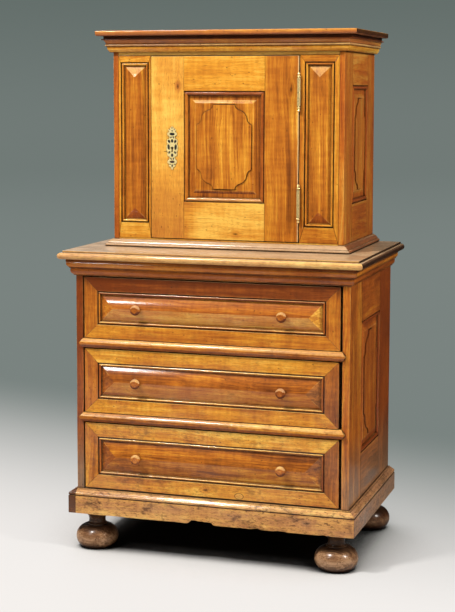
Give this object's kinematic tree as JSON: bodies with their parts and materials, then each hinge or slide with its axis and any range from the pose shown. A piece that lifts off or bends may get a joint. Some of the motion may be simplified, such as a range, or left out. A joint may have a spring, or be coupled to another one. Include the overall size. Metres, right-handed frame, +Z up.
{
  "type": "cabinet on chest",
  "caption": "Panelled walnut cupboard with one hinged door and a shelf, standing on a chest of sliding drawers with bun feet.",
  "frame": {"origin": "on the floor, under the middle of the chest's top", "axes": "+X right, +Y to the back, +Z up; the door and drawers face -Y"},
  "size_m": [1.028, 0.67, 1.735],
  "materials": {
    "walnut": "waxed honey walnut, worn edges",
    "dark_walnut": "dark polished turned walnut",
    "lining_softwood": "unfinished old softwood",
    "brass": "aged polished brass",
    "wrought_iron": "dark forged iron"
  },
  "bodies": {
    "carcase": {"cabinet_back_boards": "lining_softwood", "cabinet_base_moulding": "walnut", "cabinet_bottom_board": "lining_softwood", "cabinet_front_rails": "walnut", "cabinet_left_frame": "walnut", "cabinet_left_panel": "walnut", "cabinet_right_frame": "walnut", "cabinet_right_panel": "walnut", "cabinet_shelf": "walnut", "cabinet_top_board": "walnut", "chest_back_boards": "lining_softwood", "chest_bottom_board": "lining_softwood", "chest_left_frame": "walnut", "chest_left_panel": "walnut", "chest_right_frame": "walnut", "chest_right_panel": "walnut", "chest_top_boards": "walnut", "chest_top_moulding": "walnut", "chest_top_rail": "walnut", "cornice": "walnut", "drawer_divider_lower": "walnut", "drawer_divider_upper": "walnut", "drawer_runners": "lining_softwood", "foot_back_left": "dark_walnut", "foot_back_right": "dark_walnut", "foot_corner_blocks": "lining_softwood", "foot_front_left": "dark_walnut", "foot_front_right": "dark_walnut", "hinge_pintles": "brass", "pilaster_left_frame": "walnut", "pilaster_left_panel": "walnut", "pilaster_right_frame": "walnut", "pilaster_right_panel": "walnut", "plinth_back": "lining_softwood", "plinth_front": "walnut", "plinth_left": "walnut", "plinth_right": "walnut", "shelf_bearers": "lining_softwood"},
    "drawer_upper": {"drawer_upper_bottom": "lining_softwood", "drawer_upper_front_frame": "walnut", "drawer_upper_front_panel": "walnut", "drawer_upper_knobs": "walnut", "drawer_upper_sides_and_back": "lining_softwood"},
    "drawer_middle": {"drawer_middle_bottom": "lining_softwood", "drawer_middle_front_frame": "walnut", "drawer_middle_front_panel": "walnut", "drawer_middle_knobs": "walnut", "drawer_middle_sides_and_back": "lining_softwood"},
    "drawer_lower": {"drawer_lower_bottom": "lining_softwood", "drawer_lower_front_frame": "walnut", "drawer_lower_front_panel": "walnut", "drawer_lower_knobs": "walnut", "drawer_lower_sides_and_back": "lining_softwood"},
    "door": {"door_frame": "walnut", "door_panel": "walnut", "door_panel_moulding": "walnut", "escutcheon": "brass", "lock_case": "wrought_iron", "hinge_knuckles": "brass"},
    "lock_bolt": {"lock_bolt": "wrought_iron"}
  },
  "joints": [
    {"name": "door_hinge", "type": "hinge", "parent": "carcase", "child": "door", "pos_m": [0.2485, -0.117, 1.345], "axis": [0, 0, 1], "range_deg": [0, 175]},
    {"name": "lock_bolt_slide", "type": "slide", "parent": "door", "child": "lock_bolt", "axis": [-1, 0, 0], "range_m": [0, 0.014]},
    {"name": "drawer_upper_slide", "type": "slide", "parent": "carcase", "child": "drawer_upper", "axis": [0, -1, 0], "range_m": [0, 0.4]},
    {"name": "drawer_middle_slide", "type": "slide", "parent": "carcase", "child": "drawer_middle", "axis": [0, -1, 0], "range_m": [0, 0.4]},
    {"name": "drawer_lower_slide", "type": "slide", "parent": "carcase", "child": "drawer_lower", "axis": [0, -1, 0], "range_m": [0, 0.4]}
  ]
}
